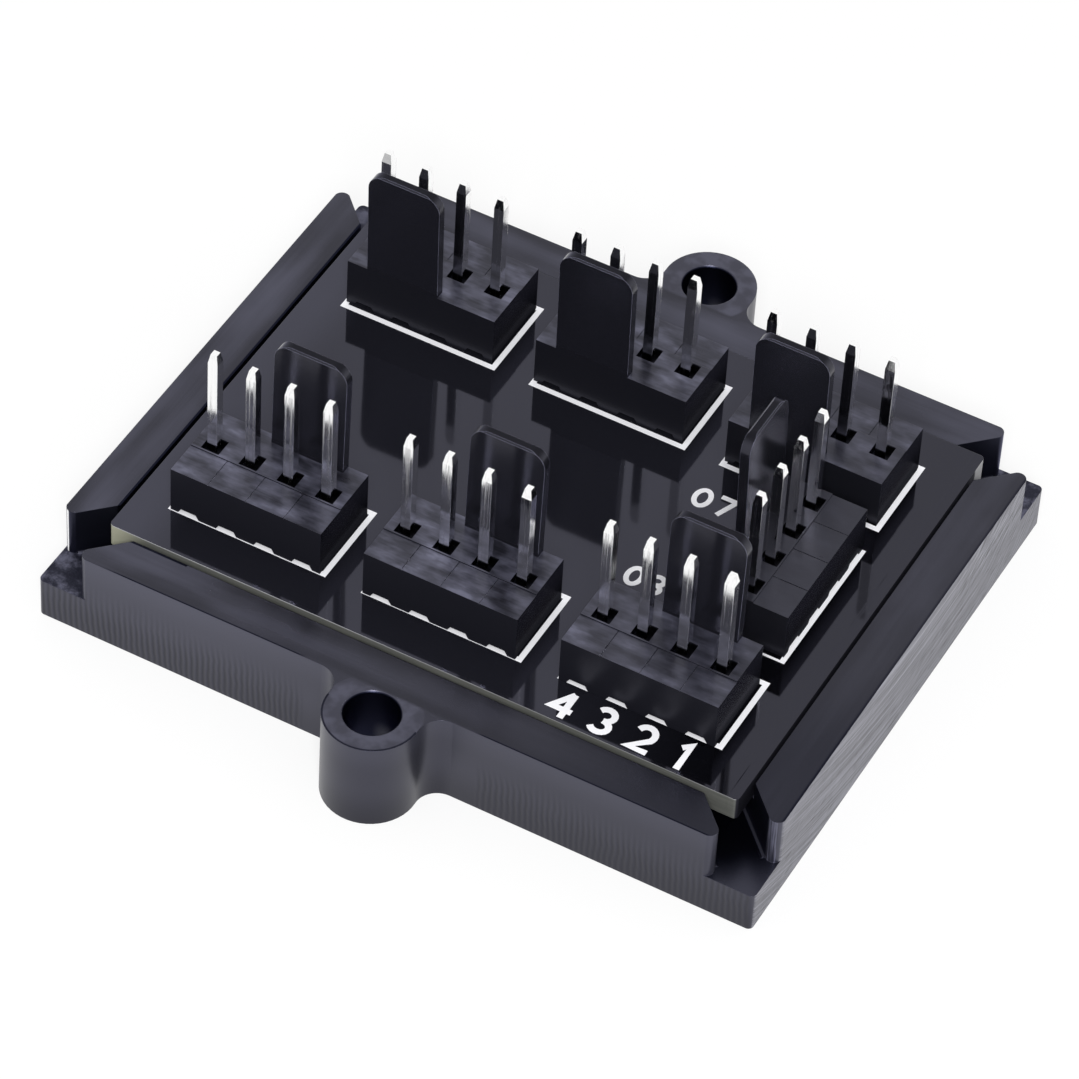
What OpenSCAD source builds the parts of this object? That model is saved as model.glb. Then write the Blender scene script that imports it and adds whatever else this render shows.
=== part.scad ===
// Fan splitter hub: a circuit board with seven four-pin headers, laid in a
// one-piece carrier that has a screw ear at the middle of each long side.
// X runs along the rows of headers, Y across them and Z up from the underside.

/* [Circuit board] */
// Length of the board, along the rows of headers
board_l = 41.1; // [39:0.1:60]
// Width of the board, across the rows
board_w = 31.5; // [29:0.1:50]
// Thickness of the board
board_t = 1.6; // [1:0.1:2.4]
// Radius of the board's corners
board_corner_r = 0.3; // [0.1:0.05:1]
// How far the board's top stands above the rails
board_proud = 0.25; // [0.05:0.05:0.8]
// Drilled hole for each pin
pin_hole_d = 1; // [0.95:0.01:1.2]

/* [Carrier] */
// Width of the rails round the board
rail_w = 2.7; // [2.2:0.1:6]
// Height of the rails above the underside
rail_h = 6.2; // [5.4:0.1:12]
// Play between the board's edge and the rails
board_gap = 0.25; // [0.1:0.05:0.5]
// How far the board lies to the right of the middle, within its play
board_shift = 0.1; // [0:0.05:0.2]
// Width of the ledge that carries the board
ledge_w = 1; // [0.5:0.1:1.5]
// Free depth under the board for the pin tails
tail_room = 2.6; // [2.3:0.1:2.8]
// Radius of the carrier's upright corners
carrier_corner_r = 0.35; // [0.2:0.05:1.2]

/* [Corner slots] */
// Width of the slot cut across each corner
slot_w = 3; // [2:0.1:4]
// Height of the slot's floor above the underside
slot_floor_h = 2.8; // [2:0.1:4]
// Rounding along the foot of the slot's sides
slot_foot_r = 0.3; // [0.1:0.05:0.6]
// Rounding of the rails' sharp ends
rail_tip_r = 0.5; // [0.2:0.05:0.8]

/* [Ears] */
// How far the ears lie to the left of the middle
ear_shift = 0.2; // [0:0.05:0.6]
// Distance of each screw hole from the carrier's wall
ear_out = 1.7; // [1.4:0.1:6]
// Radius of each ear
ear_r = 2.9; // [2.5:0.1:4]
// Screw hole in each ear
ear_hole_d = 3.3; // [2.5:0.1:4]
// Bevel round both ends of the screw hole
ear_hole_bevel = 0.1; // [0.05:0.05:0.45]
// Radius where an ear runs into the wall
ear_neck_r = 1.4; // [0.6:0.1:2.5]

/* [Header rows] */
// Distance between neighbouring headers in a row
header_pitch = 12.85; // [12.2:0.05:14]
// Distance of each row of pins from the board's long edge
row_inset = 5.83; // [4.5:0.01:6.8]
// How far the rows lie to the left of the middle of the board
row_shift = 0.3; // [0:0.05:1]
// Distance of the crosswise header's pins from the board's right edge
cross_inset = 5.75; // [4:0.05:8]
// How far the crosswise header lies behind the middle of the board
cross_y = 0.25; // [0:0.05:0.8]

/* [Header body] */
// Body beyond the last pin, at each end
base_end = 1.2; // [0.9:0.05:1.6]
// Height of the body above the board
base_h = 3.38; // [2.4:0.01:6]
// Depth of the body from the pins to its back face
base_back = 2.95; // [2.2:0.05:3.4]
// Depth of the body from the pins to the face with the tab
base_front = 2.5; // [2:0.05:3]
// How much lower the body's back strip lies
strip_drop = 0.08; // [0.04:0.01:0.3]
// Distance from the pins to that strip
strip_off = 0.7; // [0.65:0.05:1.2]
// Width and depth of the score lines across the strip
score = 0.05; // [0.03:0.01:0.2]
// Side of the square well round each pin
well_w = 1.2; // [0.8:0.05:1.3]
// Depth of that well
well_d = 0.5; // [0.2:0.05:1.5]
// Width of the gap between the feet, under each pin
foot_gap_w = 1.4; // [0.8:0.05:1.7]
// Height of that gap
foot_gap_h = 0.35; // [0.15:0.05:0.8]
// Slant of the gap's sides
foot_gap_slant = 0.2; // [0.05:0.05:0.3]

/* [Locking tab] */
// Width of the tab
tab_w = 4.8; // [3:0.1:6]
// Thickness of the tab at its foot
tab_t = 0.62; // [0.5:0.01:1.1]
// Height of the tab's top above the board
tab_top = 11.3; // [8:0.1:14]
// How far the tab leans outwards
tab_lean = 0.2; // [0.05:0.05:0.4]
// Radius of the tab's upper corners
tab_corner_r = 1.1; // [0.3:0.05:1.4]
// Bevel along the tab's upper edges
tab_bevel = 0.1; // [0.05:0.01:0.2]

/* [Pins and solder] */
// Distance between neighbouring pins
pin_pitch = 2.54; // [2.5:0.01:2.6]
// Side of the square pins
pin_w = 0.64; // [0.5:0.01:0.66]
// Height of the pins' tips above the board
pin_top = 10.8; // [7:0.1:13]
// Length of the tapered tip
pin_tip_l = 0.65; // [0.3:0.05:1.5]
// Side of the flat at the tip
pin_tip_w = 0.4; // [0.15:0.05:0.45]
// Length of the tail below the board
pin_tail = 1.9; // [1.4:0.1:2.2]
// Height of the solder below the board
solder_h = 1; // [0.5:0.1:1.3]
// Radius of the solder where it meets the board
solder_r = 0.9; // [0.7:0.05:1.1]
// Least thickness of solder beside the pin's edges
solder_skin = 0.08; // [0.04:0.01:0.15]
// Gap between the solder and the wall of its hole
solder_gap = 0.02; // [0.01:0.005:0.03]

/* [Hidden] */
$fn = 48;
cut = 1;
// Makes a rounding cross the faces beside it, instead of only touching them
cross = 0.008;
pins_per_header = 4;

pocket_l = board_l + 2 * board_gap;
pocket_w = board_w + 2 * board_gap;
carrier_l = pocket_l + 2 * rail_w;
carrier_w = pocket_w + 2 * rail_w;
board_top = rail_h + board_proud;
ledge_top = board_top - board_t;
pocket_floor = ledge_top - tail_room;

pin_span = (pins_per_header - 1) * pin_pitch;
base_l = pin_span + 2 * base_end;
tab_x = -pin_pitch / 2;
row_y = board_w / 2 - row_inset;
cross_x = board_shift + board_l / 2 - cross_inset;

slot_reach = slot_w / sqrt(2);
tip_tangent = rail_tip_r / tan(22.5);

ear_y = carrier_w / 2 + ear_out;
neck_x = sqrt(pow(ear_r + ear_neck_r, 2) - pow(ear_out - ear_neck_r, 2));
neck_share = ear_r / (ear_r + ear_neck_r);

// Each header: name, place of its row of pins, turn about Z.
// Unturned, the tab is at the front and the first pin at the left.
HEADERS = [
    for (i = [1:3]) [str("front_", i), [row_x(i), -row_y], 180],
    for (i = [1:3]) [str("rear_", i), [row_x(i), row_y], 0],
    ["input", [cross_x, cross_y], -90]
];

function row_x(i) = board_shift - row_shift + (i - 2) * header_pitch;
function pin_x(i) = (i - (pins_per_header + 1) / 2) * pin_pitch;
function base_node(h) = str(h[0], "_header");
function pin_node(h, i) = str(h[0], "_pin_", i);
function solder_node(h) = str(h[0], "_solder");

// Moves its children to a header's place, standing on the board.
module at_header(h) {
    translate([h[1][0], h[1][1], board_top])
        rotate([0, 0, h[2]])
            children();
}

// Repeats its children at the four corners, turned to face outwards.
module each_corner(l, w) {
    for (sx = [0, 1])
        for (sy = [0, 1])
            mirror([sx, 0, 0])
                mirror([0, sy, 0])
                    translate([l / 2, w / 2, 0])
                        children();
}

module rounded_rectangle(l, w, r) {
    square([l - 2 * r, w], center = true);
    square([l, w - 2 * r], center = true);
    for (x = [-1, 1])
        for (y = [-1, 1])
            translate([x * (l / 2 - r), y * (w / 2 - r)])
                circle(r = r);
}

// An ear beside the rear wall, with a curved neck on both sides.
module ear_outline() {
    tangent_x = neck_x * neck_share;
    tangent_y = ear_y + (ear_neck_r - ear_out) * neck_share;
    wall_y = carrier_w / 2;
    translate([0, ear_y])
        circle(r = ear_r);
    difference() {
        polygon([
            [-neck_x, wall_y - cut], [neck_x, wall_y - cut], [neck_x, wall_y],
            [tangent_x, tangent_y], [-tangent_x, tangent_y], [-neck_x, wall_y]
        ]);
        for (x = [-neck_x, neck_x])
            translate([x, wall_y + ear_neck_r])
                circle(r = ear_neck_r);
    }
}

module carrier_outline() {
    rounded_rectangle(carrier_l, carrier_w, carrier_corner_r);
    for (turn = [0, 180])
        translate([-ear_shift, 0])
            rotate(turn)
                ear_outline();
}

// Bevelled screw hole, standing on the underside.
module ear_hole() {
    r = ear_hole_d / 2;
    b = ear_hole_bevel;
    rotate_extrude()
        polygon([
            [0, -cut], [r + b, -cut], [r + b, 0], [r, b],
            [r, rail_h - b], [r + b, rail_h], [r + b, rail_h + cut], [0, rail_h + cut]
        ]);
}

// Profile of the corner slot, rounded at the foot of both sides.
module slot_profile() {
    r = slot_foot_r;
    depth = rail_h - slot_floor_h + cut;
    translate([-slot_w / 2, r])
        square([slot_w, depth - r]);
    translate([-slot_w / 2 + r, 0])
        square([slot_w - 2 * r, depth]);
    for (x = [-1, 1])
        translate([x * (slot_w / 2 - r), r])
            circle(r = r);
}

// Slot that runs inwards from a corner, past the board's ledge.
module corner_slot() {
    inner = (rail_w + board_gap + ledge_w) * sqrt(2) + slot_w / 2;
    outer = slot_w;
    translate([0, 0, slot_floor_h])
        rotate([0, 0, 45])
            translate([-inner, 0, 0])
                rotate([90, 0, 90])
                    linear_extrude(inner + outer)
                        slot_profile();
}

// What comes off a rail's sharp end beside the slot, to leave it round.
module rail_tip_cut() {
    r = rail_tip_r;
    t = tip_tangent;
    d = t / sqrt(2);
    tip = -slot_reach;
    translate([0, 0, slot_floor_h])
        linear_extrude(rail_h)
            difference() {
                polygon([
                    [-r, tip - t], [r, tip - t], [r, tip + r],
                    [-d - r, tip - d + r], [-d, tip - d]
                ]);
                translate([-r, tip - t])
                    circle(r = r + cross);
            }
}

module board_pocket() {
    translate([-pocket_l / 2, -pocket_w / 2, ledge_top])
        cube([pocket_l, pocket_w, rail_h]);
    translate([-pocket_l / 2 + ledge_w, -pocket_w / 2 + ledge_w, pocket_floor])
        cube([pocket_l - 2 * ledge_w, pocket_w - 2 * ledge_w, rail_h]);
}

module carrier() {
    color("dimgray")
        difference() {
            linear_extrude(rail_h)
                carrier_outline();
            board_pocket();
            each_corner(carrier_l, carrier_w) {
                corner_slot();
                rail_tip_cut();
                mirror([1, -1, 0])
                    rail_tip_cut();
            }
            for (y = [-ear_y, ear_y])
                translate([-ear_shift, y, 0])
                    ear_hole();
        }
}

module circuit_board() {
    color("darkslategray")
        difference() {
            translate([board_shift, 0, ledge_top])
                linear_extrude(board_t)
                    rounded_rectangle(board_l, board_w, board_corner_r);
            for (h = HEADERS)
                at_header(h)
                    for (i = [1:pins_per_header])
                        translate([pin_x(i), 0, -board_t - cut])
                            cylinder(d = pin_hole_d, h = board_t + 2 * cut);
        }
}

// Side view of the tab: it leans out from the body's front face.
module tab_side() {
    b = tab_bevel;
    out = -base_front;
    top = out - tab_lean;
    polygon([
        [out, 0], [out, base_h], [top, tab_top - b], [top + b, tab_top],
        [top + tab_t - b, tab_top], [top + tab_t, tab_top - b],
        [out + tab_t, base_h], [out + tab_t, 0]
    ]);
}

// Front view of the tab, with round upper corners.
module tab_front() {
    r = tab_corner_r;
    translate([-tab_w / 2, 0])
        square([tab_w, tab_top - r]);
    translate([-tab_w / 2 + r, 0])
        square([tab_w - 2 * r, tab_top]);
    for (x = [-1, 1])
        translate([x * (tab_w / 2 - r), tab_top - r])
            circle(r = r);
}

module tab() {
    translate([tab_x, 0, 0])
        intersection() {
            translate([-tab_w / 2 - cut, 0, 0])
                rotate([90, 0, 90])
                    linear_extrude(tab_w + 2 * cut)
                        tab_side();
            translate([0, base_back, 0])
                rotate([90, 0, 0])
                    linear_extrude(base_back + base_front + 2 * cut)
                        tab_front();
        }
}

// Gap between two feet, through the body from front to back.
module foot_gap() {
    half = foot_gap_w / 2;
    top = half - foot_gap_slant;
    translate([0, base_back + cut, 0])
        rotate([90, 0, 0])
            linear_extrude(base_front + base_back + 2 * cut)
                polygon([[-half, -cut], [half, -cut], [half, 0], [top, foot_gap_h],
                    [-top, foot_gap_h], [-half, 0]]);
}

// Moulded body of a header, with its pins' row on the Z axis.
module header_body() {
    strip_h = base_h - strip_drop;
    strip_d = base_back - strip_off;
    difference() {
        union() {
            translate([-base_l / 2, -base_front, 0])
                cube([base_l, base_front + base_back, strip_h]);
            translate([-base_l / 2, -base_front, 0])
                cube([base_l, base_front + strip_off, base_h]);
            tab();
        }
        for (i = [1:pins_per_header])
            translate([pin_x(i), 0, 0]) {
                translate([-pin_w / 2, -pin_w / 2, -cut])
                    cube([pin_w, pin_w, base_h + 2 * cut]);
                translate([-well_w / 2, -well_w / 2, base_h - well_d])
                    cube([well_w, well_w, base_h]);
                foot_gap();
            }
        for (i = [1:pins_per_header - 1])
            translate([pin_x(i + 0.5) - score / 2, strip_off, strip_h - score])
                cube([score, strip_d + cut, cut]);
    }
}

module header_base(h) {
    color("#2b2b31")
        at_header(h)
            header_body();
}

// Outline of a pin seen from any side, tapered at both ends.
module pin_outline() {
    half = pin_w / 2;
    flat = pin_tip_w / 2;
    tail = -board_t - pin_tail;
    taper = half - flat;
    polygon([
        [-flat, tail], [flat, tail], [half, tail + taper], [half, pin_top - pin_tip_l],
        [flat, pin_top], [-flat, pin_top], [-half, pin_top - pin_tip_l], [-half, tail + taper]
    ]);
}

module pin() {
    intersection() {
        translate([0, pin_w / 2, 0])
            rotate([90, 0, 0])
                linear_extrude(pin_w)
                    pin_outline();
        translate([-pin_w / 2, 0, 0])
            rotate([90, 0, 90])
                linear_extrude(pin_w)
                    pin_outline();
    }
}

module header_pin(h, i) {
    color("silver")
        at_header(h)
            translate([pin_x(i), 0, 0])
                pin();
}

// One soldered joint: it fills the hole and hollows down to the tail.
module solder_joint() {
    barrel_r = pin_hole_d / 2 - solder_gap;
    skin_r = pin_w / sqrt(2) + solder_skin;
    steps = 6;
    flare = [
        for (k = [0:steps])
            let (a = 90 * k / steps)
                [solder_r - (solder_r - skin_r) * sin(a), -solder_h + solder_h * cos(a)]
    ];
    difference() {
        translate([0, 0, -board_t])
            rotate_extrude()
                polygon(concat([[0, board_t], [barrel_r, board_t], [barrel_r, 0]], flare,
                    [[0, -solder_h]]));
        translate([-pin_w / 2, -pin_w / 2, -board_t - solder_h - cut])
            cube([pin_w, pin_w, board_t + solder_h + 2 * cut]);
    }
}

module header_solder(h) {
    color("lightgray")
        at_header(h)
            for (i = [1:pins_per_header])
                translate([pin_x(i), 0, 0])
                    solder_joint();
}

carrier();
circuit_board();
for (h = HEADERS) {
    header_base(h);
    for (i = [1:pins_per_header])
        header_pin(h, i);
    header_solder(h);
}
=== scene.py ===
# %% [markdown]
# # A fan splitter hub, dressed for its portrait
#
# The hub is a black circuit board with seven pin headers, laid in a black plastic carrier with two
# screw ears. Its solids were drawn in a CAD program and are loaded here as a fixed frame, so this file
# never changes a size. It adds what the solids lack: how each surface takes the light, and the white
# marks that are printed on the board.
#
# All lengths in Blender are metres. The parts are small, so the numbers below are written in
# millimetres and multiplied by `MM` where they are used.

# %% Load the solids
import math

import bpy
from mathutils import Matrix, Vector


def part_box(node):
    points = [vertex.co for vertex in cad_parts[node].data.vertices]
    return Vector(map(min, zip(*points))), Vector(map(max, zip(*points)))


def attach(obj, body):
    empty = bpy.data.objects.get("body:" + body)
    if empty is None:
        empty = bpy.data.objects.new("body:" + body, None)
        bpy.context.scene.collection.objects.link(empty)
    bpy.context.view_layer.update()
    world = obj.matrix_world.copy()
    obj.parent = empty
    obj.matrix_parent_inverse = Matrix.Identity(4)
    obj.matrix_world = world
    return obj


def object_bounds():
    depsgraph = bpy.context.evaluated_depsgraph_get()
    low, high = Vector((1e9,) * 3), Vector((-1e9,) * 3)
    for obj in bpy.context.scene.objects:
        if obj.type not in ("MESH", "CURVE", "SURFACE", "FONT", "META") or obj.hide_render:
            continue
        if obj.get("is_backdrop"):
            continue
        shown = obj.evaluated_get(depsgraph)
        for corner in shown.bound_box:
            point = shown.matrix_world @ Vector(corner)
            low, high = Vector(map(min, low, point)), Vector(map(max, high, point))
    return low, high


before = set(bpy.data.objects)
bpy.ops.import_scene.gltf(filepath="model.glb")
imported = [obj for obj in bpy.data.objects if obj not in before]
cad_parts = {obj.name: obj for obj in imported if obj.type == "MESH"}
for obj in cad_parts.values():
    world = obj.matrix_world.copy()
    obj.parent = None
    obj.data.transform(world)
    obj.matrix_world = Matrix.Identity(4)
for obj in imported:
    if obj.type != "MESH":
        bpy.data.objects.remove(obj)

MM = 0.001
cad_box = [list(corner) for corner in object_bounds()]
print("nodes:", len(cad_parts))
print("box of the solids in mm:", [[round(v / MM, 2) for v in corner] for corner in cad_box])

# %% [markdown]
# ## The camera
#
# A product photograph like this one is taken from well back with a long lens, so that parallel edges
# stay nearly parallel. The place of the camera can be found by eye, or worked out from points whose
# size is known. Here the angles, the distance and the focal length below were worked out from the
# pins, which stand 2.54 mm apart.

# %% Place the camera
TURN, RISE, ROLL = math.radians(26.280), math.radians(46.171), math.radians(-3.675)
TARGET = Vector((-0.036, -0.887, 3.0)) * MM
DISTANCE = 354.89 * MM
SENSOR_WIDTH, FOCAL_LENGTH = 36, 201.66

towards = Vector((math.sin(TURN) * math.cos(RISE), -math.cos(TURN) * math.cos(RISE), math.sin(RISE)))
level_line = Vector((0, 0, 1)).cross(towards).normalized()
upright = towards.cross(level_line)
across = level_line * math.cos(ROLL) - upright * math.sin(ROLL)
up = upright * math.cos(ROLL) + level_line * math.sin(ROLL)

lens = bpy.data.cameras.new("portrait_lens")
lens.sensor_width = SENSOR_WIDTH
lens.lens = FOCAL_LENGTH
lens.clip_start = 0.01
lens.clip_end = 10
camera = bpy.data.objects.new("portrait_camera", lens)
turned = Matrix((across, up, towards)).transposed().to_4x4()
camera.matrix_world = Matrix.Translation(TARGET + towards * DISTANCE) @ turned
bpy.context.scene.collection.objects.link(camera)
bpy.context.scene.camera = camera
bpy.context.scene.view_settings.view_transform = "Standard"
print("camera in mm:", [round(v / MM, 1) for v in camera.matrix_world.translation])

# %% [markdown]
# ## Shader maths that reads like maths
#
# A material in Blender is a net of nodes, and a long net is hard to read in code. Two small classes
# help. `Wire` stands for one output of a node, and its operators add the Math nodes, so a mask can be
# written as `1 - low * rough`. `Net` owns the node tree and has one method, `node`, which takes a
# node's type, then its settings, then what goes into its sockets.

# %% Wires and nets
class Wire:
    """One output of a node. Arithmetic on it adds Math nodes to the net."""

    def __init__(self, net, node, out):
        self.net = net
        self.source = node
        self.socket = node.outputs[out] if node.outputs else None

    def out(self, name):
        return Wire(self.net, self.source, name)

    def calc(self, operation, first, second):
        return self.net.node("ShaderNodeMath", {"operation": operation}, {0: first, 1: second})

    def __add__(self, other):
        return self.calc("ADD", self, other)

    def __sub__(self, other):
        return self.calc("SUBTRACT", self, other)

    def __rsub__(self, other):
        return self.calc("SUBTRACT", other, self)

    def __mul__(self, other):
        return self.calc("MULTIPLY", self, other)

    def __truediv__(self, other):
        return self.calc("DIVIDE", self, other)

    def __gt__(self, other):
        return self.calc("GREATER_THAN", self, other)

    def __lt__(self, other):
        return self.calc("LESS_THAN", self, other)

    def __abs__(self):
        return self.calc("ABSOLUTE", self, 0)

    __radd__ = __add__
    __rmul__ = __mul__


class Net:
    """A node tree that is being filled."""

    def __init__(self, tree):
        self.tree = tree
        self.tree.nodes.clear()

    def node(self, kind, settings=None, sockets=None, out=0):
        made = self.tree.nodes.new(kind)
        for name, value in (settings or {}).items():
            setattr(made, name, value)
        for name, value in (sockets or {}).items():
            if isinstance(value, Wire):
                self.tree.links.new(value.socket, made.inputs[name])
            else:
                made.inputs[name].default_value = value
        return Wire(self, made, out)


# %% [markdown]
# ## Patterns that every finish shares
#
# Three things come back in every finish: where a point lies, in millimetres; a soft step from 0 to 1;
# and a cloud of noise. Noise can be stretched by scaling the coordinates that go into it: a small
# number along one axis draws the cloud out into streaks that run along that axis.

# %% Places, steps and clouds
def new_finish(name):
    """An empty material, as a net that knows each point's place and the way its face looks."""
    material = bpy.data.materials.new(name)
    material.use_nodes = True
    net = Net(material.node_tree)
    net.material = material
    place = net.node("ShaderNodeTexCoord", out="Object")
    net.place = net.node("ShaderNodeVectorMath", {"operation": "SCALE"}, {0: place, "Scale": 1 / MM})
    parts = net.node("ShaderNodeSeparateXYZ", None, {0: net.place})
    net.x, net.y, net.z = parts, parts.out("Y"), parts.out("Z")
    facing = net.node("ShaderNodeNewGeometry", out="Normal")
    turned = net.node("ShaderNodeSeparateXYZ", None, {0: facing})
    net.nx, net.ny, net.nz = turned, turned.out("Y"), turned.out("Z")
    return net


def step(net, value, low, high, start=0.0, end=1.0):
    """start below low, end above high, and a smooth ramp between."""
    return net.node(
        "ShaderNodeMapRange",
        {"interpolation_type": "SMOOTHSTEP"},
        {"Value": value, "From Min": low, "From Max": high, "To Min": start, "To Max": end},
    )


def cloud(net, along=(1, 1, 1), detail=3.0, roughness=0.5, shift=0.0, place=None):
    """Noise from 0 to 1. along is how many blotches a millimetre holds on each axis."""
    scaled = net.node(
        "ShaderNodeVectorMath",
        {"operation": "MULTIPLY_ADD"},
        {0: place or net.place, 1: along, 2: (shift, shift * 1.7, shift * 2.3)},
    )
    sockets = {"Vector": scaled, "Scale": 1, "Detail": detail, "Roughness": roughness}
    return net.node("ShaderNodeTexNoise", None, sockets)


def vector(net, first, second=0.0):
    """Two numbers as the X and Y of a place."""
    return net.node("ShaderNodeCombineXYZ", None, {0: first, 1: second})


def length(net, first, second):
    """The long side of a right-angled triangle."""
    return net.node("ShaderNodeMath", {"operation": "SQRT"}, {0: first * first + second * second})


def line_at(net, distance, half_width):
    """1 on a thin line where distance is 0, and 0 beside it."""
    return step(net, abs(distance), half_width * 0.4, half_width, 1.0, 0.0)


# %% [markdown]
# Colours and numbers are mixed in different nodes, so each has its own helper. A sharp moulded edge
# would look like a drawing, so `soft_edge` bends the normal near it, and `relief` tilts the normal
# where a height changes.
#
# Every finish ends in one Principled shader. Only its colour, roughness, metallic and normal may
# change over a surface here, because those can be baked later. That leaves no socket for a mirror that
# is weaker in one place. Two ways round it are used: a high Metallic with a nearly black colour dims
# the mirror, and where nothing at all may be mirrored, a second shader without any gloss is mixed in.

# %% Colours, edges and the shader
def mix(net, share, first, second):
    """A colour that goes from first to second as share goes from 0 to 1."""
    return net.node("ShaderNodeMix", {"data_type": "RGBA"}, {0: share, 6: first, 7: second}, out=2)


def blend(net, share, first, second):
    """A number that goes from first to second as share goes from 0 to 1."""
    return share * second + (1 - share) * first


def rgb(red, green, blue):
    return (red, green, blue, 1.0)


def grey(value):
    return rgb(value, value, value)


def shade(net, level, full=rgb(0.92, 0.93, 1.30)):
    """The grey of black plastic, slightly blue. level is how much light it gives back, wear and painted
    sheen alike.
    """
    return mix(net, level, grey(0), full)


def relief(net, height, depth, under=None):
    """A bumped normal. depth is in millimetres for a height that goes from 0 to 1."""
    sockets = {"Height": height, "Distance": depth * MM, "Strength": 1}
    if under:
        sockets["Normal"] = under
    return net.node("ShaderNodeBump", None, sockets, out="Normal")


def soft_edge(net, radius):
    """The normal as if each sharp edge had a small rounding. The mesh stays as it is."""
    return net.node("ShaderNodeBevel", {"samples": 4}, {"Radius": radius * MM})


def plastic(net, matt=None, **sockets):
    """A Principled shader as the material's surface. Spaces in socket names are written as _.

    Where matt is 1, the surface mirrors nothing.
    """
    named = {name.replace("_", " "): value for name, value in sockets.items()}
    surface = net.node("ShaderNodeBsdfPrincipled", None, named)
    if matt:
        named.update({"Specular IOR Level": 0.0, "Metallic": 0.0})
        blind = net.node("ShaderNodeBsdfPrincipled", None, named)
        surface = net.node("ShaderNodeMixShader", None, {0: matt, 1: surface, 2: blind})
    net.node("ShaderNodeOutputMaterial", None, {"Surface": surface})
    print("finish:", net.material.name, "with", len(net.tree.nodes), "nodes")
    return net.material


# %% [markdown]
# ## Light and floor
#
# The object stands on white, and nearly everything on it is black and shiny, so what shows is mostly
# the white room mirrored in it. A big white world does that, with one soft lamp for shape. The camera
# and every mirror see the world at 1, which is plain white. As a light it is dimmer, so that white ink
# doesn't burn out.

# %% Light the room
ROOM_LIGHT = 0.60
AT_HALF = (0.4, 0.6)

world = bpy.data.worlds.new("white_room")
bpy.context.scene.world = world
world.use_nodes = True
sky = Net(world.node_tree)
ray = sky.node("ShaderNodeLightPath", out="Is Camera Ray")
shown = ray + ray.out("Is Glossy Ray") + ray.out("Is Transmission Ray")
room = sky.node("ShaderNodeBackground", None, {"Color": grey(1), "Strength": ROOM_LIGHT})
white = sky.node("ShaderNodeBackground", None, {"Color": grey(1), "Strength": 1.0})
both = sky.node("ShaderNodeMixShader", None, {0: step(sky, shown, *AT_HALF), 1: room, 2: white})
sky.node("ShaderNodeOutputWorld", None, {"Surface": both})


def soft_lamp(name, place, size, power):
    """A square soft box that looks at the middle of the hub."""
    light = bpy.data.lights.new(name, "AREA")
    light.shape = "SQUARE"
    light.size = size
    light.energy = power
    lamp = bpy.data.objects.new(name, light)
    lamp.location = place
    lamp.rotation_euler = (-Vector(place)).to_track_quat("-Z", "Y").to_euler()
    bpy.context.scene.collection.objects.link(lamp)


soft_lamp("key_box", (0.25, -0.50, 0.55), size=0.20, power=4.6)

# %% [markdown]
# The floor is a plain pale sheet. It could be white and lit until it burns out, but then the black
# plastic would get too much light as well. So mirrors see it as plain white, and the camera sees it
# partly as plain white and partly as lit paper. The paper's part keeps the object's soft shadow.

# %% Lay the floor
PLAIN_WHITE_SHARE = 0.75
PAPER_DARK, PAPER_PALE = 0.955, 0.97
FLOOR_REACH = 3.0
FLOOR_DROP = 0.02

pale = new_finish("pale_floor")
mottle = cloud(pale, (0.02, 0.02, 0.02))
paper_tone = mix(pale, mottle, grey(PAPER_DARK), grey(PAPER_PALE))
paper = pale.node("ShaderNodeBsdfDiffuse", None, {0: paper_tone})
glow = pale.node("ShaderNodeEmission", None, {"Color": grey(1), "Strength": 1.0})
ray = pale.node("ShaderNodeLightPath", out="Is Camera Ray")
mirrored = ray.out("Is Glossy Ray") + ray.out("Is Transmission Ray")
plain_white = step(pale, mirrored, *AT_HALF) + ray * PLAIN_WHITE_SHARE
lit = pale.node("ShaderNodeMixShader", None, {0: plain_white, 1: paper, 2: glow})
pale.node("ShaderNodeOutputMaterial", None, {"Surface": lit})

corners = [(x * FLOOR_REACH, y * FLOOR_REACH, 0) for x, y in ((-1, -1), (1, -1), (1, 1), (-1, 1))]
sheet = bpy.data.meshes.new("floor")
sheet.from_pydata(corners, [], [(0, 1, 2, 3)])
sheet.materials.append(pale.material)
floor = bpy.data.objects.new("floor", sheet)
floor.location.z = -FLOOR_DROP * MM
bpy.context.scene.collection.objects.link(floor)
floor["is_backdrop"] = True
print("floor at", floor.location.z / MM, "mm")

# %% [markdown]
# ## The carrier: milled and polished black plastic
#
# The carrier is cut from one block of black plastic. Its top was left smooth, and along each rail it
# carries broad soft bands of painted reflection. Its long walls keep the marks of the cutter: close
# upright ribs on the front and back, and long fine lines on the two ends, which turn into arcs where the
# cutter left the work. The floors of the corner slots are rough.
#
# Cutting such marks into the mesh would take millions of faces. They are only hundredths of a
# millimetre deep, so a bump does it: heights that tilt the light without moving the surface. A mask
# from the direction that a face looks in gives each wall its own marks.

# %% Marks of the cutter
HALF_LENGTH, HALF_WIDTH = 23.5, 18.7
RAIL_WIDTH, RAIL_TOP, SLOT_FLOOR = 2.7, 6.2, 2.8
EAR_X, EAR_Y, EAR_RADIUS, HOLE_RADIUS = -0.2, 20.4, 2.9, 1.65
RIB_PITCH, RIB_LEAN = 0.373, 0.05
FACING = (0.80, 0.95)
COOL_TINT = rgb(0.75, 0.75, 1.0)

case = new_finish("milled_black_plastic")
front_wall = step(case, abs(case.ny), *FACING)
end_wall = step(case, abs(case.nx), *FACING) * step(case, abs(case.x), 20.5, 21.5)
top_side = step(case, case.nz, *FACING)
away_from_ear = step(case, abs(case.x), 5.4, 6.2)

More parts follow.
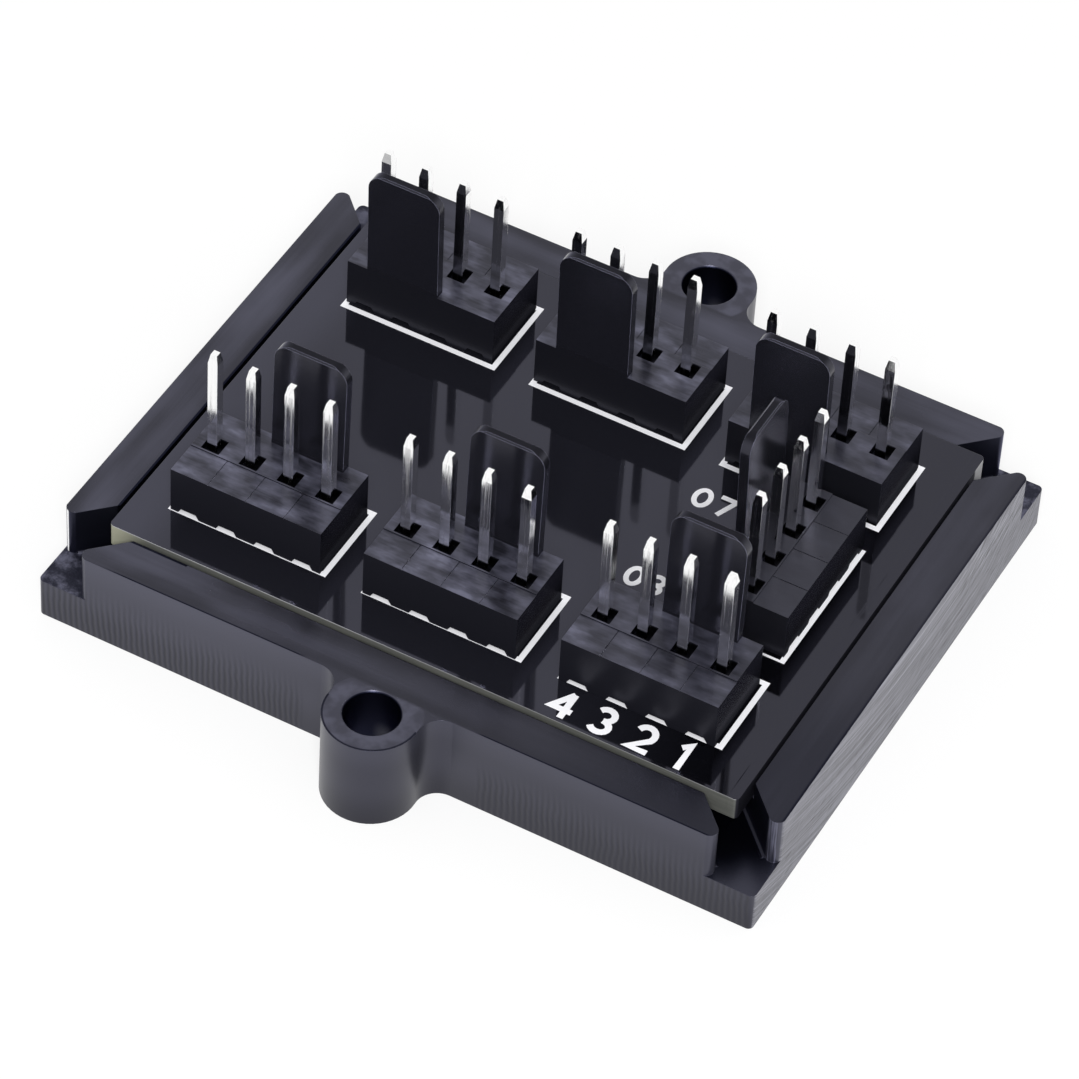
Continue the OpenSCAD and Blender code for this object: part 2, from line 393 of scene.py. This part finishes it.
wander = cloud(case, (0.35, 0.35, 0.5), detail=2.0, shift=3.0)
rib_phase = (case.x + case.z * RIB_LEAN + wander * 0.4) * (2 * math.pi / RIB_PITCH)
ribs = case.node("ShaderNodeMath", {"operation": "SINE"}, {0: rib_phase}) * 0.5 + 0.5
rib_band = step(case, case.z + wander * 1.6, 1.9, 5.6, 1.0, 0.0) * front_wall * away_from_ear
print("ribs:", len(case.tree.nodes), "nodes")

# %% [markdown]
# The lines on the two ends were left by a wide cutter that swept past, so they are parts of very
# large circles, nearly straight. `sweep` is the height of a point above such a curve: it is the same
# all along one line. Along two of the lines a painted highlight runs over most of the wall. At the back
# the cutter left the work and drew smaller arcs. Slanting scratches cross the lines, and short dark
# dashes lie low on the wall. All of this is strongest on the right end.

# %% Lines on the ends
SWEEP_MIDDLE, SWEEP_SIZE = 5, 110
ARC_Y, ARC_Z = 8.0, 9.0
SLANT_COS, SLANT_SIN = 0.82, 0.57

from_sweep = case.y - SWEEP_MIDDLE
sweep = case.z - from_sweep * from_sweep / SWEEP_SIZE
along_sweep = vector(case, sweep, case.y)
lines = cloud(case, (6.5, 0.06, 0.0), detail=5.0, roughness=0.7, shift=7.0, place=along_sweep)
arc_reach = length(case, case.y - ARC_Y, case.z - ARC_Z)
arcs = cloud(case, (5.0, 0.0, 0.0), detail=4.0, roughness=0.65, place=vector(case, arc_reach))
near_arcs = step(case, case.y + wander * 3.0, 9.5, 13.5) * step(case, case.z, 3.0, 4.4, 1.0, 0.0)
drawn = blend(case, near_arcs, lines, arcs)

# Two painted highlights, each along one line of the sweep.
first_glint = line_at(case, sweep - 5.45 + wander * 0.2 - 0.1, 0.11)
first_glint = first_glint * step(case, case.y, 7.5, 9.5, 1.0, 0.0)
second_glint = line_at(case, sweep - case.y * 0.035 - 3.95, 0.09)
second_glint = second_glint * step(case, abs(case.y + 1), 7.0, 9.0, 1.0, 0.0)
along_slant = case.y * SLANT_COS + case.z * SLANT_SIN
across_slant = case.z * SLANT_COS - case.y * SLANT_SIN
slant = vector(case, along_slant, across_slant)
scratches = cloud(case, (0.5, 8.0, 0.0), detail=3.0, roughness=0.6, place=slant)
dashes = step(case, cloud(case, (0.0, 0.6, 5.5), detail=1.0, shift=13.0), 0.60, 0.70)
dashes = dashes * step(case, case.z, 2.6, 3.6, 1.0, 0.0)
worn = step(case, case.y, 5.5, 9.0) * step(case, case.z, 2.8, 4.4)
print("lines on the ends:", len(case.tree.nodes), "nodes")

# %% [markdown]
# The smooth top needs the opposite: hardly any bump, but a slow change of tone, which paints the broad
# reflections of the room. On the two end rails the bands run along Y and on the front and back rails
# along X. The line where the two meet is the diagonal through the corner slots, so the mask compares
# the two distances from the middle.

# %% Painted sheen bands on the rails, rough floors in the slots
DIAGONAL = HALF_LENGTH - HALF_WIDTH

end_rail = step(case, abs(case.x) - abs(case.y), DIAGONAL - 0.1, DIAGONAL + 0.1)
sheen_bands_y = cloud(case, (0.55, 0.09, 0.0), detail=1.5, shift=1.0)
sheen_bands_x = cloud(case, (0.12, 0.50, 0.0), detail=1.5, shift=5.0)
sheen_bands = blend(case, end_rail, sheen_bands_x, sheen_bands_y)
streaks_x = cloud(case, (0.15, 6, 0), shift=2.0)
streaks_y = cloud(case, (6, 0.15, 0), shift=4.0)
streaks = blend(case, end_rail, streaks_x, streaks_y)
rail_top = top_side * (case.z > RAIL_TOP - 0.3)
slot_floor = top_side * (case.z < SLOT_FLOOR + 0.4)
grit = cloud(case, (3.4, 3.4, 3.4), detail=5.0, roughness=0.7)
speck = cloud(case, (14, 14, 14), detail=2.0)
blotch = step(case, cloud(case, (0.9, 0.9, 0.9), detail=2.0, shift=9.0), 0.38, 0.66)
smudge = step(case, cloud(case, (0.8, 0.8, 0.8), detail=4.0, roughness=0.65, shift=17.0), 0.42, 0.66)
print("bands and grit:", len(case.tree.nodes), "nodes")

# %% [markdown]
# Each part of the carrier gives back its own small share of light, and the shares are simply added
# up: the top carries a painted sheen, palest at its left and nearly gone at its right front, and a
# painted highlight along the middle of each rail, strongest towards the right front; the front wall is
# a little paler at its left; the right end is palest of all, a painted reflection of the white floor
# laid over the real marks of the cutter. The rings round the screw holes are paler, with blotches.

# %% How pale the top is
rail_middle_x, rail_middle_y = HALF_LENGTH - RAIL_WIDTH / 2, HALF_WIDTH - RAIL_WIDTH / 2
# Painted sheen: palest at the left of the top, nearly gone at its right front.
painted_sheen = step(case, case.x - case.y, -6, 32, 0.025, 0.002)
# A painted highlight along the middle of each rail, strongest towards the right front.
off_middle = blend(case, end_rail, abs(case.y) - rail_middle_y, abs(case.x) - rail_middle_x)
off_middle = off_middle + (wander - 0.5) * 1.2
crown_highlight = step(case, abs(off_middle), 0.1, 1.2, 1.0, 0.0) - 0.4
crown_highlight = crown_highlight * step(case, case.x - case.y, 18, 30, 0.012, 0.002)
level_top = painted_sheen * (0.2 + step(case, sheen_bands, 0.32, 0.68) * 1.3) + (streaks - 0.5) * 0.015 + crown_highlight

from_hole_x = case.x - EAR_X
from_hole = length(case, from_hole_x, abs(case.y) - EAR_Y)
ring = step(case, from_hole, EAR_RADIUS - 0.05, EAR_RADIUS + 0.15, 1.0, 0.0)
on_ear = step(case, abs(case.y), HALF_WIDTH - 0.2, HALF_WIDTH + 0.1)
level_ear = blend(case, ring, 0.011, 0.022 + blotch * 0.032)
level_top = blend(case, on_ear, level_top, level_ear)
print("levels of the top:", len(case.tree.nodes), "nodes")

# %% [markdown]
# The walls and the slots follow. On the front and back the ribs darken the tone as well as tilting the
# light: painted shade, because the valley of a rib is shaded. On the ends the drawn lines, the two
# painted highlights, the scratches and the dashes each add or take away a little, and the right end is
# painted far paler than the left, a painted reflection of the white floor. The floors of the slots are
# mottled with grit and smudges, apart from the right front one, which is smooth.

# %% How pale the walls and the slots are
level_front = step(case, case.z, 0.2, 3.0, 0.010, 0.026) + step(case, case.z, 4.2, 6.0, 0.0, 0.010)
level_front = level_front + step(case, case.x, -14, 2, 0.012, 0.0) - on_ear * 0.010
# Painted shade in the valleys of the ribs.
level_front = level_front * (1 - (1 - ribs) * rib_band)

end_marks_and_reflection = 0.075 + step(case, drawn, 0.42, 0.60) * 0.13 + step(case, case.z, 4.4, 6.0) * 0.03
end_marks_and_reflection = end_marks_and_reflection + (first_glint + second_glint) * 0.12 - dashes * 0.08
end_marks_and_reflection = end_marks_and_reflection + (step(case, scratches, 0.44, 0.62) - 0.4) * (0.05 + worn * 0.16) + worn * 0.02
# The right end is painted far paler than the left: a painted reflection of the white floor over the real
# marks of the cutter.
end_marks_and_reflection = blend(case, case.x > 0, 0.05 + end_marks_and_reflection * 0.35, end_marks_and_reflection)

right_front = (case.x > 0) * (case.y < 0)
level_rough = 0.02 + step(case, grit, 0.45, 0.75) * 0.05 + smudge * 0.12
level_slot = level_rough * (1 - right_front) + right_front * 0.03
print("levels of the walls:", len(case.tree.nodes), "nodes")

# %% [markdown]
# The slots were cut with a sharp cutter. They lie in shade, which is painted on their walls and floors,
# so they are the darkest part. Only two places beside them are paler: a thin highlight is painted on
# the left rail's front tip, and the last millimetre of the right rail's front tip was scraped upright.

# %% Walls of the slots
SLOT_REACH = 2.7
POCKET_LEFT, POCKET_RIGHT, POCKET_SIDE = -20.95, -15, 16.15

from_end, from_side = HALF_LENGTH - abs(case.x), HALF_WIDTH - abs(case.y)
off_axis = from_end - from_side
inward = step(case, from_end + from_side, 1.0, 5.0)
beside_slot = (abs(off_axis) < SLOT_REACH) * (case.z > SLOT_FLOOR + 0.002)
beside_slot = beside_slot * step(case, abs(case.nz), 0.3, 0.5, 1.0, 0.0)
slot_wall = beside_slot * (off_axis * ((case.y > 0) * 2 - 1) > 0)
# A thin highlight, painted near white, on the left rail's front tip.
tip_highlight = slot_wall * step(case, case.x, 0.3 - HALF_LENGTH, 0.4 - HALF_LENGTH, 1.0, 0.0) * (case.y < 0)
scrape = slot_wall * right_front * step(case, case.x, HALF_LENGTH - 1.0, HALF_LENGTH - 0.8)
level_scrape = step(case, cloud(case, (9, 9, 0.3), shift=8.0), 0.38, 0.62, 0.01, 0.09)
# The narrow gap between the left rail and the board, which gets painted shade.
left_gap_shade = (case.x > POCKET_LEFT) * (case.x < POCKET_RIGHT) * (abs(case.y) < POCKET_SIDE)
left_gap_shade = left_gap_shade * (1 - slot_floor)
print("walls of the slots:", len(case.tree.nodes), "nodes")

# %% [markdown]
# Painted shade is gathered in one mask: thin dark lines along the rims of the rails and the front ear,
# the walls of the screw holes, the right front of the top, the slots, and the narrow gap between the
# left rail and the board. There the colour goes to a shadow blue and the mirror is turned down.

# %% Where shade is painted on the carrier
DARKEST = 0.96
SHADOW_BLUE = rgb(0.006, 0.007, 0.015)

# Painted dark lines along the rims of the front rail, the front ear and the right rail.
front_rim_shade = rail_top * line_at(case, case.y + (HALF_WIDTH - 0.02), 0.09) * away_from_ear
front_rim_shade = front_rim_shade * step(case, case.x, -19.5, -17.5)
ear_rim_shade = rail_top * line_at(case, from_hole - (EAR_RADIUS - 0.05), 0.10) * (case.y < -EAR_Y) * 0.8
right_rim_shade = rail_top * step(case, case.x, HALF_LENGTH - 0.20, HALF_LENGTH - 0.06) * 0.6
# Painted shade on the walls of the screw holes, lighter low in the middle of each.
hole_spot = step(case, case.z, 2.8, 4.0, 1.0, 0.0) * step(case, abs(from_hole_x), 0.2, 0.9, 1.0, 0.0)
hole_shade = step(case, from_hole, HOLE_RADIUS + 0.03, HOLE_RADIUS + 0.07, 1.0, 0.0) * (1 - hole_spot * 0.6)
# Painted shade on the right front of the top and in the slots, deepest inside the right front slot.
right_front_shade = rail_top * step(case, case.x - case.y, 24, 34) * 0.30
slot_shade = slot_floor * blend(case, right_front, 0.62 - smudge * 0.30, 0.28 + inward * 0.60)
slot_shade = slot_shade + slot_wall * (1 - scrape) * (1 - tip_highlight) * 0.75
darkened = front_rim_shade + ear_rim_shade + right_rim_shade + hole_shade + right_front_shade + slot_shade + left_gap_shade
painted_shade = case.node("ShaderNodeMath", {"operation": "MINIMUM"}, {0: darkened, 1: DARKEST})
print("darkest places:", len(case.tree.nodes), "nodes")

# %% [markdown]
# Now the masks choose between the levels, and the tone, the gloss and the relief meet in one shader.
# The order matters: what comes later lies over what came before, so the slot floors replace the level
# of the top, and the end walls replace them all. The relief is a chain too, in which each bump starts
# from the normal of the one before.

# %% Put the carrier's finish together
level = blend(case, rail_top, level_front, level_top)
level = blend(case, slot_floor, level, level_slot)
level = blend(case, scrape, level, level_scrape)
tone = shade(case, level)
tone = mix(case, end_wall, tone, shade(case, end_marks_and_reflection, rgb(0.97, 0.97, 1.10)))
# The painted highlight on the left rail's front tip.
tone = mix(case, tip_highlight, tone, grey(0.95))

gloss = blend(case, rail_top, 0.34, 0.20 + sheen_bands * 0.08)
gloss = blend(case, slot_floor, gloss, 0.55 - right_front * 0.3)
gloss = blend(case, end_wall, gloss, 0.36 + drawn * 0.14)

ribbed = relief(case, ribs * rib_band, 0.014, soft_edge(case, 0.07))
lined = relief(case, drawn * end_wall * (0.4 + (case.x > 0) * 0.6), 0.012, ribbed)
gritty = relief(case, grit * slot_floor * (1 - right_front) + speck * 0.03, 0.05, lined)
milled_plastic = plastic(
    case,
    Base_Color=mix(case, painted_shade, tone, SHADOW_BLUE),
    Metallic=painted_shade,
    Roughness=gloss,
    IOR=1.55,
    Specular_Tint=COOL_TINT,
    Normal=gritty,
)

# %% [markdown]
# ## The board: black solder mask like a mirror
#
# The mask is a lacquer, poured and baked, so it is nearly as flat as glass and mirrors the headers
# that stand on it. A low roughness gives the mirror, and a very slow bump bends the mirrored lines a
# little, as real lacquer does. The cut edge of the board is bare glass-fibre laminate, a dull
# grey-green with thin layers. On the right the lacquer has run over it, except near the back corner. A
# faint ridge follows the right edge, where the copper under the lacquer ends.

# %% Lacquer on top, laminate at the edge
COPPER_END = 20.05
LACQUER_END = 6.42

mask = new_finish("black_board_lacquer")
cut_edge = step(mask, abs(mask.nz), 0.30, 0.60, 1.0, 0.0)
swell = cloud(mask, (0.16, 0.16, 0.16), detail=1.0)
dust = cloud(mask, (6, 6, 6), detail=3.0, roughness=0.6)
layers = cloud(mask, (0.3, 0.3, 9.0), detail=2.0, shift=2.0)
copper_end = step(mask, abs(mask.x - COPPER_END), 0.03, 0.09, 1.0, 0.0)
pale_corner = step(mask, mask.x, -20.3, -17.5, 1.0, 0.0) * step(mask, mask.y, -15.5, -13.5, 1.0, 0.0)
# A painted highlight along the top rim of the cut edge, half as strong on the right.
rim_highlight = step(mask, mask.z, LACQUER_END - 0.04, LACQUER_END) * step(mask, mask.x, -10, 12, 1.0, 0.5)
pale_back = step(mask, mask.y, 14.2, 14.6)

laminate = mix(mask, layers, rgb(0.055, 0.058, 0.050), rgb(0.14, 0.143, 0.128))
laminate = mix(mask, pale_corner * 0.7, laminate, rgb(0.42, 0.42, 0.30))
laminate = mix(mask, rim_highlight, laminate, rgb(0.46, 0.46, 0.47))
laminate = mix(mask, pale_back, laminate, grey(0.40))
lacquer_level = step(mask, mask.x, -19.5, -16.5, 0.026, 0.010) - step(mask, mask.x, 8, 19) * 0.009
lacquer = shade(mask, lacquer_level + step(mask, dust, 0.55, 0.8) * 0.004)
lacquer = mix(mask, copper_end * 0.6, lacquer, rgb(0.001, 0.001, 0.002))
bare = cut_edge * step(mask, step(mask, mask.nx, 0.4, 0.7, 1.0, 0.0) + pale_back, 0.0, 1.0)
bent = relief(mask, swell, 0.010, soft_edge(mask, 0.04))
board_lacquer = plastic(
    mask,
    Base_Color=mix(mask, bare, lacquer, laminate),
    Roughness=blend(mask, cut_edge, 0.045 + dust * 0.03, 0.55),
    IOR=1.54,
    Specular_Tint=COOL_TINT,
    Normal=relief(mask, copper_end, 0.004, bent),
)

# %% [markdown]
# ## The headers: moulded black nylon
#
# The header bodies came out of a steel mould. Flat walls are glossy, and the top has faint streaks
# where the melt flowed round the pins. A moulded corner is never razor sharp, so a small rounding in
# the normal lets each edge catch the light. Round the rim of each tab a thin highlight is painted: it
# is found by how far the rounded normal turns away from the face.

# %% Moulded nylon
TAB_FOOT = 9.95
CLEAN_NYLON = 0.0085

nylon = new_finish("moulded_black_nylon")
flow = cloud(nylon, (0.42, 0.9, 0.5), detail=3.0, roughness=0.55)
hair_flow = cloud(nylon, (0.5, 7, 2), detail=3.0, shift=6.0)
skin = cloud(nylon, (9, 9, 9), detail=3.0, roughness=0.6)
upper = step(nylon, nylon.nz, 0.6, 0.9)
on_tab = step(nylon, nylon.z, TAB_FOOT, TAB_FOOT + 0.25)
input_header = step(nylon, nylon.x, 11.7, 11.9) * step(nylon, abs(nylon.y), 5.2, 5.4, 1.0, 0.0)
# The flow streaks are fainter on the right-hand headers and nearly gone on the input header.
flow_share = step(nylon, nylon.x, 4, 12, 1.0, 0.55) * (1 - input_header * 0.85)
level_flow = 0.004 + step(nylon, flow, 0.34, 0.68) * 0.066 + step(nylon, flow, 0.58, 0.72) * 0.05
level_flow = level_flow + (hair_flow - 0.5) * 0.05

nylon_edge = soft_edge(nylon, 0.04)
face = nylon.node("ShaderNodeNewGeometry", out="Normal")
bend = nylon.node(
    "ShaderNodeVectorMath", {"operation": "DOT_PRODUCT"}, {0: nylon_edge, 1: face}, out="Value"
)
# A painted highlight round the rim of each tab.
tab_rim_highlight = step(nylon, bend, 0.90, 0.985, 1.0, 0.0) * on_tab
level_body = CLEAN_NYLON + level_flow * flow_share * upper * (1 - on_tab)
nylon_tone = shade(nylon, level_body + tab_rim_highlight * 0.22)
print("nylon:", len(nylon.tree.nodes), "nodes")


# %% [markdown]
# The wells round the pins are narrow and deep, so hardly any light comes back out of them. They are
# found by how far a point is from the nearest pin: `wrap` folds the whole row of pins onto one pitch.
#
# The ends of a header are seen at a low angle, where any gloss mirrors the white ink at their foot
# strongly. The real ones are faintly textured and stay dark, so the shader without gloss is mixed in
# there, most of it near the foot, and half of it on the front walls.

# %% Wells and the nylon's finish
PITCH, HEADER_STEP = 2.54, 12.85
HEADER_MIDDLE, ROW_Y = -0.2, 9.92
INPUT_X, INPUT_Y = 14.9, 0.25
WELL_HALF_LENGTH, WELL_HALF_WIDTH = 0.64, 0.75
WELL_TOP = 9.73


def wrap(net, value, low, high):
    """value folded into the range from low to high, over and over."""
    return net.node("ShaderNodeMath", {"operation": "WRAP"}, {0: value, 1: high, 2: low})


def wells(net, along, aside):
    """1 in the wells of one row. along is counted from the row's middle, and aside from its pins."""
    from_pin = abs(wrap(net, along, 0, PITCH) - PITCH / 2)
    return (from_pin < WELL_HALF_LENGTH) * (abs(aside) < WELL_HALF_WIDTH)


along_header = wrap(nylon, nylon.x - HEADER_MIDDLE, -HEADER_STEP / 2, HEADER_STEP / 2)
row_wells = wells(nylon, along_header, abs(nylon.y) - ROW_Y)
input_wells = wells(nylon, nylon.y - INPUT_Y, nylon.x - INPUT_X)
in_well = step(nylon, row_wells + input_wells * input_header, *AT_HALF) * (nylon.z < WELL_TOP)

end_face = step(nylon, abs(nylon.nx), 0.7, 0.9) * (1 - on_tab)
front_face = step(nylon, nylon.ny, -0.9, -0.7, 1.0, 0.0) * (1 - on_tab)
side_gloss = 0.30 - on_tab * 0.14 - end_face * 0.13
# Painted shade in the wells, which go nearly black; the tops of the tabs, apart from their rim, and the
# ends of the header are darkened too, with their mirror turned down.
painted_nylon_shade = blend(nylon, in_well, upper * on_tab * (1 - tab_rim_highlight) * 0.65 + end_face * 0.45, 0.85)
header_nylon = plastic(
    nylon,
    matt=end_face * step(nylon, nylon.z, 6.9, 9.6, 0.92, 0.15) + front_face * 0.55,
    Base_Color=mix(nylon, painted_nylon_shade, nylon_tone, grey(0)),
    Metallic=painted_nylon_shade,
    Roughness=blend(nylon, upper, side_gloss + skin * 0.05, 0.24 + flow * 0.12),
    IOR=1.52,
    Specular_Tint=rgb(0.78, 0.78, 1.0),
    Normal=relief(nylon, skin * 0.4 + flow, 0.006, nylon_edge),
)

# %% [markdown]
# ## The pins and the solder: bright tin
#
# The pins are square wire, drawn through a die and plated with tin. Drawing leaves hair-fine lines
# along the wire, so the noise is squeezed across the pin and stretched along it. Tin also dulls
# unevenly, and is darker in patches low on the shaft. The front of each rear pin carries a painted
# reflection: it is painted darker, for the dark headers and tabs in front of it. The solder under the
# board is tin too, but it froze from a puddle, so it is smoother and has no lines.

# %% Drawn tin and solder
tin = new_finish("drawn_tin")
hairs = cloud(tin, (11, 11, 0.12), detail=3.0, roughness=0.6)
dull = cloud(tin, (1.1, 1.1, 0.35), detail=3.0, shift=4.0)
lower_shaft = step(tin, tin.z, 8.0, 13.0, 1.0, 0.0)
scratched = step(tin, hairs, 0.48, 0.66)
# Painted reflection: the front of each rear pin is darker, for the dark headers in front of it.
rear_front_shade = (tin.y > 6) * (tin.ny < -0.9)
tin_tone = mix(tin, step(tin, dull, 0.35, 0.70) * lower_shaft, grey(0.97), rgb(0.80, 0.80, 0.81))
tin_tone = mix(tin, rear_front_shade * 0.6, tin_tone, rgb(0.20, 0.20, 0.21))
pin_tin = plastic(
    tin,
    Base_Color=mix(tin, scratched * (0.12 + lower_shaft * 0.25), tin_tone, rgb(0.40, 0.40, 0.41)),
    Metallic=1.0,
    Roughness=0.05 + scratched * 0.14 + dull * 0.06,
    Normal=relief(tin, hairs, 0.0015, soft_edge(tin, 0.03)),
)

puddle = new_finish("frozen_solder")
ripple = cloud(puddle, (1.5, 1.5, 1.5), detail=3.0)
solder_tin = plastic(
    puddle,
    Base_Color=mix(puddle, ripple, rgb(0.72, 0.72, 0.71), rgb(0.56, 0.56, 0.55)),
    Metallic=1.0,
    Roughness=0.22 + ripple * 0.16,
    Normal=relief(puddle, ripple, 0.02),
)

# %% [markdown]
# ## Giving each solid its finish
#
# Each solid has one material slot. The frame's meshes must stay as they are, so only the slot is
# filled. The name of a node says which finish it takes.

# %% Fill the material slots
FINISHES = [("carrier", milled_plastic), ("circuit_board", board_lacquer), ("_header", header_nylon),
            ("_pin_", pin_tin), ("_solder", solder_tin)]
dressed = {}
for name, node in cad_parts.items():
    finish = next(material for part, material in FINISHES if part in name)
    for slot in node.material_slots:
        slot.material = finish
    dressed[finish.name] = dressed.get(finish.name, 0) + 1
print("dressed:", dressed)

# %% [markdown]
# ## White ink on the board
#
# The board is printed with white ink through a fine screen: a rectangle round each header, pin
# numbers in front of one, and header numbers in two places. Ink could be a picture laid on the board,
# but a picture is soft close up. Here every mark is a stroke of one width, as a draughtsman would rule
# it: a line of points, with an edge on either side of it, lifted by the thickness of the ink.

# %% Rule a stroke
SHARPEST_MITRE = 0.5


def stroke(points, width, closed=False):
    """Pairs of points on both sides of a line through points, with mitred corners."""
    points = [Vector(p) for p in points]
    count = len(points)
    pairs = []
    for i, here in enumerate(points):
        before = points[i - 1] if closed or i else None
        after = points[(i + 1) % count] if closed or i < count - 1 else None
        into = (here - before).normalized() if before else (after - here).normalized()
        away = (after - here).normalized() if after else into
        side = Vector((-into.y - away.y, into.x + away.x)).normalized()
        reach = width / 2 / max(SHARPEST_MITRE, side.dot(Vector((-into.y, into.x))))
        pairs.append((here + side * reach, here - side * reach))
    return pairs, closed


def arc(middle, radius, start, end, steps):
    """Points on a bow from start to end, in degrees. radius is one number for each axis."""
    turns = [math.radians(start + (end - start) * k / steps) for k in range(steps + 1)]
    return [(middle[0] + radius[0] * math.cos(a), middle[1] + radius[1] * math.sin(a)) for a in turns]


# %% [markdown]
# All strokes of one kind become one mesh, so that the part gets two printed pieces and not nineteen. A
# flat sheet just above the board would show a gap from the side, so each stroke is a thin block whose
# walls go down into the board.

# %% Print strokes as one mesh
BOARD_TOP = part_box("circuit_board")[1].z / MM
INK_TOP = BOARD_TOP + 0.018
INK_FOOT = BOARD_TOP - 0.004
INK_STEP = 0.002


def printed(name, strokes, material):
    """One mesh of all strokes: a flat top, and walls that go down into the board.

    Strokes that follow each other differ by INK_STEP in height, so that two that cross don't flicker.
    """
    points, faces = [], []
    for k, (pairs, closed) in enumerate(strokes):
        first = len(points)
        top = INK_TOP - INK_STEP * (k % 3)
        for left, right in pairs:
            points += [(left.x, left.y, top), (right.x, right.y, top),
                       (left.x, left.y, INK_FOOT), (right.x, right.y, INK_FOOT)]
        for i in range(len(pairs) if closed else len(pairs) - 1):
            a, b = first + 4 * i, first + 4 * ((i + 1) % len(pairs))
            faces += [(a + 1, b + 1, b, a), (a, b, b + 2, a + 2), (b + 1, a + 1, a + 3, b + 3)]
        if not closed:
            a, b = first, first + 4 * (len(pairs) - 1)
            faces += [(a + 1, a, a + 2, a + 3), (b, b + 1, b + 3, b + 2)]
    mesh = bpy.data.meshes.new(name)
    mesh.from_pydata([tuple(v * MM for v in p) for p in points], [], faces)
    mesh.materials.append(material)
    mesh.validate()
    piece = bpy.data.objects.new(name, mesh)
    bpy.context.scene.collection.objects.link(piece)
    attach(piece, "root")
    print(name + ":", len(strokes), "strokes,", len(faces), "faces")
    return piece


# %% [markdown]
# The ink itself is thick and slightly chalky. Close up it shows the weave of the screen it was pushed
# through, as small dots in its tone and height.

# %% Ink
ink = new_finish("white_screen_ink")
weave = ink.node("ShaderNodeTexVoronoi", None, {"Vector": ink.place, "Scale": 9.0}, out="Distance")
chalk = cloud(ink, (4, 4, 4), detail=3.0)
white_ink = plastic(
    ink,
    Base_Color=mix(ink, chalk * 0.6 + weave * 0.6, rgb(0.98, 0.98, 1.0), rgb(0.93, 0.93, 0.98)),
    Roughness=0.38 + chalk * 0.2,
    IOR=1.6,
    Normal=relief(ink, weave * 0.5 + chalk, 0.004),
)

# %% [markdown]
# Each rectangle is drawn as a closed stroke round its header, with square corners. They were laid out
# by hand on the real board and differ by a tenth of a millimetre, so each has its own four numbers.
# The one round the input header, the last, has a thinner line in front.

# %% Rectangles round the headers
LINE = 0.345
THIN_LINE = 0.16
BOXES = [(-18.20, -12.92, -7.65, -6.93), (-5.30, -12.90, 5.22, -6.93), (7.55, -12.86, 18.12, -6.93),
         (-18.20, 6.91, -7.60, 13.07), (-5.30, 6.95, 5.22, 13.07), (7.50, 6.93, 18.03, 13.07)]
INPUT_LEFT, INPUT_FRONT, INPUT_RIGHT, INPUT_BACK = 11.93, -5.20, 18.10, 5.18


def outline(x0, y0, x1, y1):
    """The middle line of a printed rectangle, given its outer corners."""
    half = LINE / 2
    x0, y0, x1, y1 = x0 + half, y0 + half, x1 - half, y1 - half
    return [(x1, y1), (x0, y1), (x0, y0), (x1, y0)]


frames = [stroke(outline(*box), LINE, closed=True) for box in BOXES]
back_right, back_left, front_left, front_right = outline(
    INPUT_LEFT, INPUT_FRONT - LINE / 2, INPUT_RIGHT, INPUT_BACK
)
frames.append(stroke([front_left, back_left, back_right, front_right], LINE))
front_y = INPUT_FRONT + 0.07
frames.append(stroke([(INPUT_LEFT, front_y), (INPUT_RIGHT, front_y)], THIN_LINE))
rectangles = printed("printed_rectangles", frames, white_ink)

# %% [markdown]
# The numerals are strokes too. Each is written in a cell one unit wide and one unit high, and then
# placed and scaled, so that one recipe serves every size. Each row below holds its digits, the left
# side of each cell, their foot, the size of a cell and the width of the stroke.

# %% Numerals
NUMERALS = {
    "0": [(arc((0.5, 0.5), (0.38, 0.42), 0, 345, 23), True)],
    "1": [([(0.28, 0.74), (0.56, 0.92), (0.56, 0.0)], False)],
    "2": [(arc((0.5, 0.65), (0.36, 0.27), 160, -35, 12) + [(0.14, 0.08), (0.94, 0.08)], False)],
    "3": [(arc((0.47, 0.71), (0.33, 0.21), 155, -90, 12), False),
          (arc((0.47, 0.29), (0.37, 0.21), 90, -155, 12), False)],
    "4": [([(0.68, 0.92), (0.10, 0.30), (0.96, 0.30)], False),
          ([(0.68, 0.92), (0.68, 0.0)], False)],
    "7": [([(0.08, 0.92), (0.90, 0.92), (0.40, 0.0)], False)],
}
ROWS = [("4321", (8.09, 10.63, 13.17, 15.71), -15.45, (1.5, 2.15), 0.40),
        ("03", (6.95, 8.35), -4.35, (1.15, 1.6), 0.32),
        ("07", (7.35, 8.80), 3.25, (1.2, 1.6), 0.32)]

marks = []
for digits, lefts, foot, (width, height), line in ROWS:
    for digit, left in zip(digits, lefts):
        for points, closed in NUMERALS[digit]:
            placed = [(left + x * width, foot + y * height) for x, y in points]
            marks.append(stroke(placed, line, closed))
numbers = printed("printed_numbers", marks, white_ink)

# %% [markdown]
# ## The box of what shows
#
# The box round everything that shows is set beside the box of the solids, and the largest difference
# between them is printed. The two should agree, because the looks don't change the size of the part.

# %% Compare the boxes and finish
seen_box = [list(corner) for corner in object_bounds()]
print("largest change of the box in mm:",
      round(max(abs(a - b) for p, q in zip(cad_box, seen_box) for a, b in zip(p, q)) / MM, 4))
